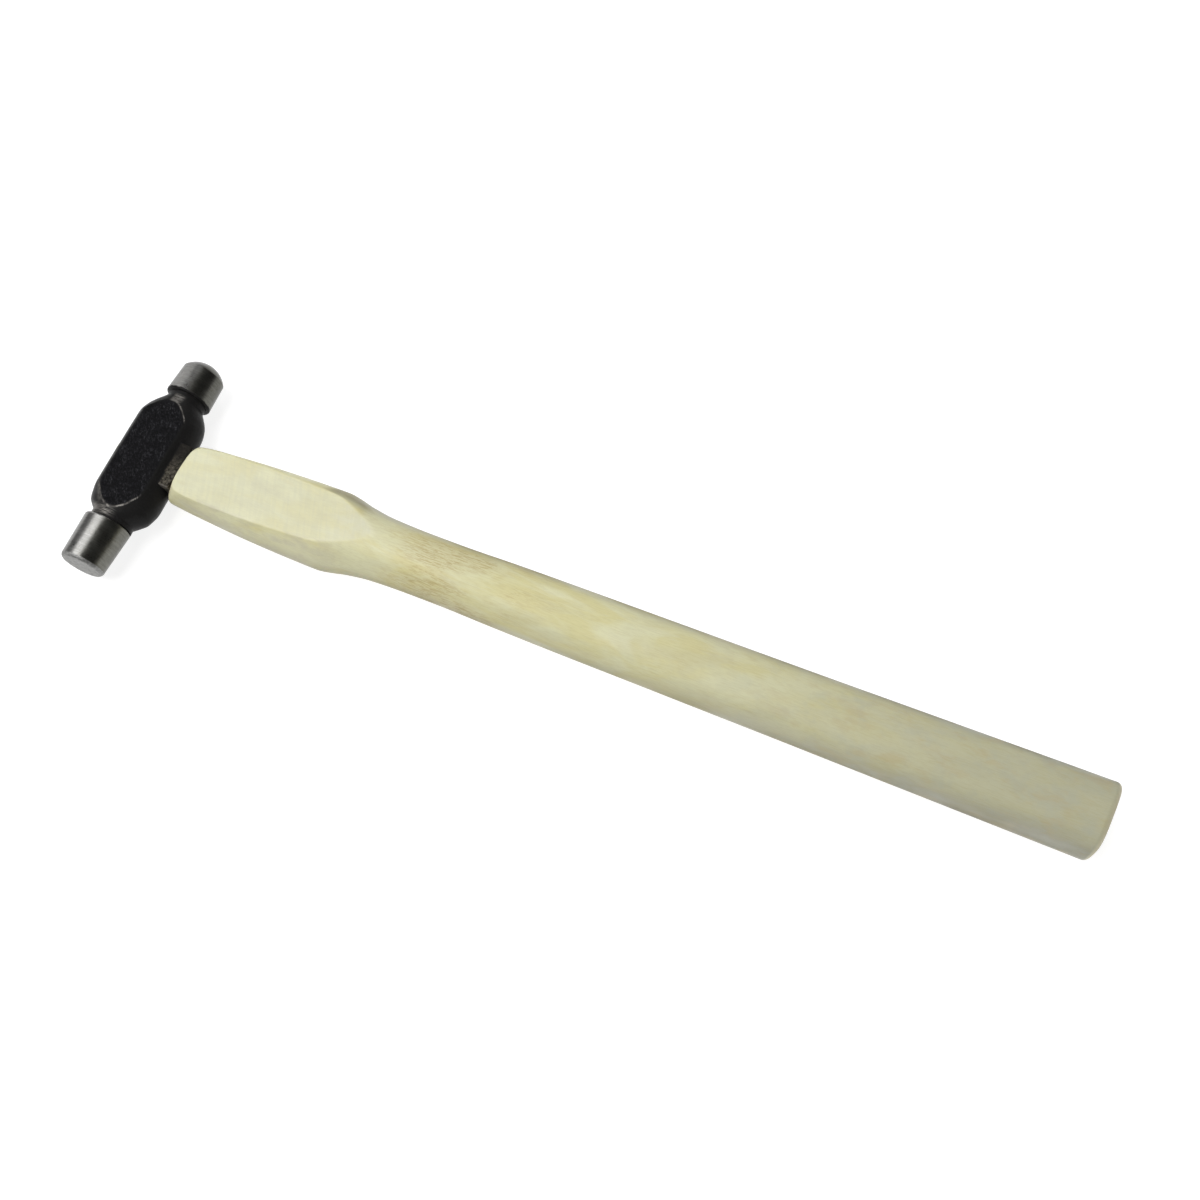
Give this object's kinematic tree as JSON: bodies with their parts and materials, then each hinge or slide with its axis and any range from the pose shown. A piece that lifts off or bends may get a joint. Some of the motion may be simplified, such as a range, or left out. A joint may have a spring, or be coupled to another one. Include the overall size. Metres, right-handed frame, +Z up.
{
  "type": "ball peen hammer",
  "caption": "Small ball peen hammer: a forged steel head with a round striking face and a domed ball end, wedged on a shaped wooden handle.",
  "frame": {"origin": "on the bench, below the middle of the hammer's bounding box as it lies on its side", "axes": "+X along the handle from the head to the butt, -Y out of the striking face, +Y out of the ball end, +Z up from the bench"},
  "size_m": [0.2936, 0.072, 0.0196],
  "materials": {
    "head_steel": "rough black forging with the striking face, the ball end and the worn panel edges ground bright",
    "handle_wood": "pale straight-grained hardwood, sanded, thin clear sealer",
    "wedge_wood": "bare hardwood end grain",
    "wedge_steel": "plain mild steel, as stamped"
  },
  "bodies": {
    "root": {"hammer_head": "head_steel", "handle": "handle_wood", "wood_wedge": "wedge_wood", "steel_wedge": "wedge_steel"}
  },
  "joints": []
}
